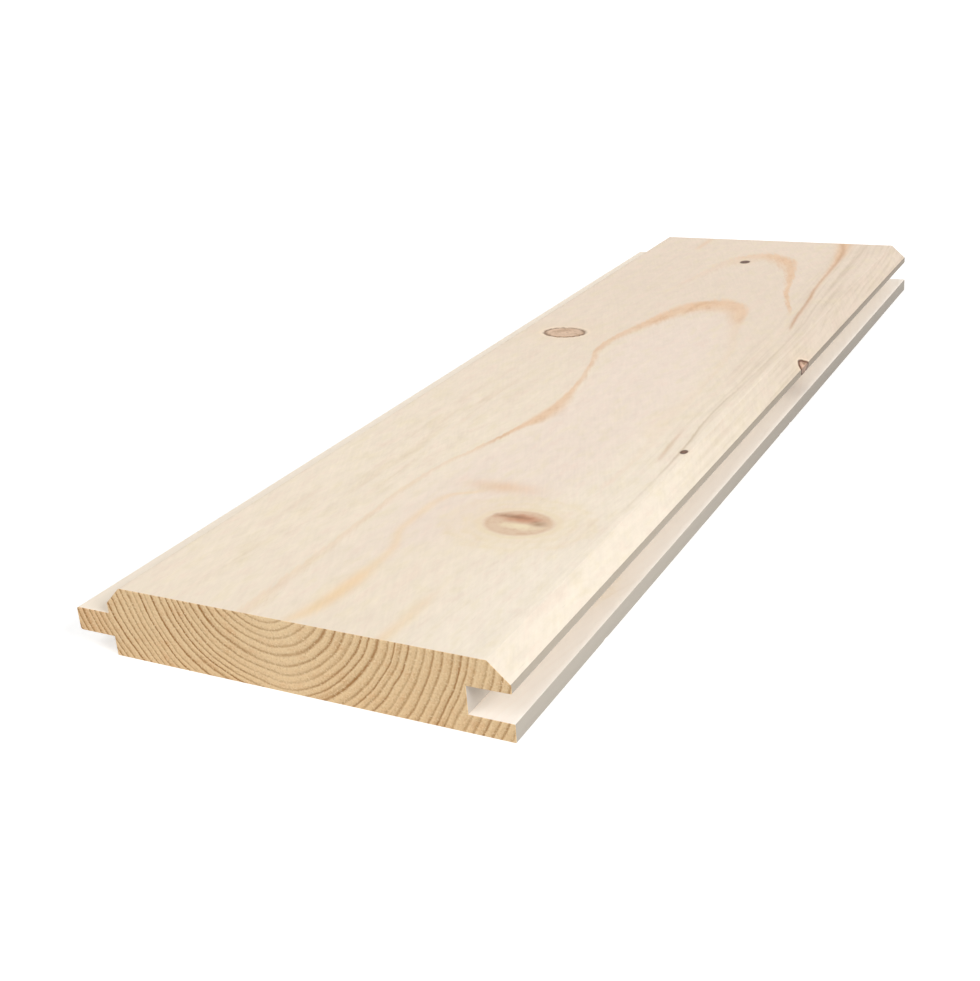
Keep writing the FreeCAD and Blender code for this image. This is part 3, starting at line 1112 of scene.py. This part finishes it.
def make_end_wood():
    material, tree, shader = new_material("sawn_end_grain")
    place = wood_place(tree)
    torn = noise(place, (0.9, 0.9, 0.9), 43, detail=3) * 0.14
    rings = use(tree, RINGS, Place=vector(tree, "ADD", place, vector(tree, "SCALE", (1, 0, 1), torn)))
    speckle = noise(place, (0.5, 0.5, 0.5), 41, detail=3, roughness=0.75)
    coarse = noise(place, (1.1, 1.1, 1.1), 45, detail=2)
    patchy = noise(place, (7, 7, 7), 42, detail=2) * 0.5 + 0.5
    # The rings are faint under the heart, and a little fainter on the groove side than on the other.
    under_heart = bell(rings["Side"] - 4, 10)
    softer = step_up(rings["Side"], -24, -4) * 0.25 + under_heart * 0.32
    dark = None
    for radius in DARK_YEARS:
        one = bell(rings["Radius"] - radius, DARK_YEAR_WIDTH)
        dark = one if dark is None else dark.math("MAXIMUM", one)
    part = rings["Part"]
    soft_band = step_up(part, 0.3, 0.75) * step_down(part, 0.8, 1.0)
    thin_line = step_up(part, 0.55, 0.78) * step_down(part, 0.82, 0.95)
    line = soft_band * 0.3 + thin_line * 0.75
    strength = (patchy * 0.4 + dark * 0.3 + rings["Tone"] * 0.65 + coarse * 0.2 + 0.22) * (1 - softer)
    across, along, up = split(place)
    bands = noise(join(tree, rings["Radius"], up, 0.0), (0.8, 14, 1), 46, detail=1)
    wood = mix(END_EARLY, END_WARM, step_up(noise(place, (5, 5, 3), 44, detail=2), 0.0, 0.7) * 0.5)
    wood = mix(wood, END_WARM, step_down(across, -52, -48) * 0.4)
    wood = mix(wood, END_LATE, step_up(bands, 0.0, 0.9) * 0.22)
    wood = mix(wood, END_FUZZ, under_heart * 0.25)
    wood = mix(wood, END_FUZZ, step_down(part, 0.0, 0.3) * (coarse * 0.5 + 0.45) * (1 - softer))
    wood = mix(wood, END_LATE, line * strength)
    wood = mix(wood, END_FUZZ, step_up(speckle, 0.1, 0.4) * 0.7)
    wood = mix(wood, END_LATE, step_down(speckle, -0.5, -0.1) * 0.35)
    wood = shade(wood, 1 - coarse * 0.06)
    painted = use(tree, KNOT_PAINT, Place=place, Wood=wood)
    plug(tree, painted["Wood"], shader.inputs["Base Color"])
    plug(tree, 0.85 - rings["Late"] * 0.1, shader.inputs["Roughness"])
    bump(tree, shader, speckle + rings["Late"] * 0.2, 0.045 * MM)
    shader.inputs["Specular IOR Level"].default_value = 0.2
    return material


# %% [markdown]
# ## Which wood goes where
#
# The direction that a face looks in tells which wood it takes. The sawn ends look along the board.
# The upright sides of the groove and its lips look towards +X. All other faces take planed wood.

# %% Assign the materials
def dress(thing):
    """Gives each face the wood that belongs to the way it was cut."""
    for material in (make_planed_wood(), make_end_wood(), make_milled_wood_with_painted_shade()):
        thing.data.materials.append(material)
    counts = [0, 0, 0]
    for face in thing.data.polygons:
        facing = face.normal
        kind = 0
        if abs(facing.y) > 0.6:
            kind = 1
        elif facing.x > 0.8:
            kind = 2
        face.material_index = kind
        counts[kind] += 1
    print("faces planed, sawn and milled:", counts)


dress(board)

# %% [markdown]
# ## Floor and light
#
# A pale board on a white floor needs light that is soft and even. Most of it comes from a broad
# sun on the groove side, so that the bevel is as bright as the face and light reaches into the
# groove. A weaker sun stands high in front, and the world adds even light from all around. The
# floor is plain and pale. Seen by the camera it gets a little light of its own, which lifts it to
# white and leaves only a faint shadow by the board.

# %% Floor, lamps and world
FLOOR_HALF_SIZE = 9.0


def seen_directly(tree):
    """1 for rays from the camera, off gloss or through glass, and 0 for rays that carry light."""
    path = tree.nodes.new("ShaderNodeLightPath")
    direct = Wire(tree, path.outputs["Is Camera Ray"])
    for name in ("Is Glossy Ray", "Is Transmission Ray"):
        direct = direct.math("MAXIMUM", Wire(tree, path.outputs[name]))
    return direct


def make_floor():
    bpy.ops.object.select_all(action="DESELECT")
    bpy.ops.mesh.primitive_plane_add(size=2 * FLOOR_HALF_SIZE)
    floor = bpy.context.object
    floor.name = "studio_floor"
    material, tree, shader = new_material("white_floor")
    shader.inputs["Base Color"].default_value = (0.8, 0.8, 0.8, 1)
    shader.inputs["Roughness"].default_value = 1.0
    shader.inputs["Specular IOR Level"].default_value = 0.0
    shader.inputs["Emission Color"].default_value = (1, 1, 1, 1)
    plug(tree, seen_directly(tree) * 0.45, shader.inputs["Emission Strength"])
    floor.data.materials.append(material)


def make_world(strength):
    """Even light from all around, which looks white wherever it is seen directly."""
    world = bpy.data.worlds.new("studio")
    bpy.context.scene.world = world
    world.use_nodes = True
    tree = world.node_tree
    background = tree.nodes["Background"]
    background.inputs["Color"].default_value = (1, 1, 1, 1)
    plug(tree, seen_directly(tree) * (1 - strength) + strength, background.inputs["Strength"])


def add_sun(name, towards, strength, spread_degrees):
    """A broad sun that shines from the direction in which it stands, seen from the board."""
    bpy.ops.object.light_add(type="SUN")
    lamp = bpy.context.object
    lamp.name = name
    lamp.rotation_euler = Vector(towards).to_track_quat("Z", "Y").to_euler()
    lamp.data.energy = strength
    lamp.data.angle = math.radians(spread_degrees)


make_floor()
make_world(0.5)
add_sun("groove_side_sun", (0.84, -0.2, 0.5), 1.85, 25)
add_sun("front_sun", (-0.3, -0.5, 0.81), 0.62, 40)
bpy.context.scene.view_settings.view_transform = "Standard"
print("floor, world and lamps are in place")
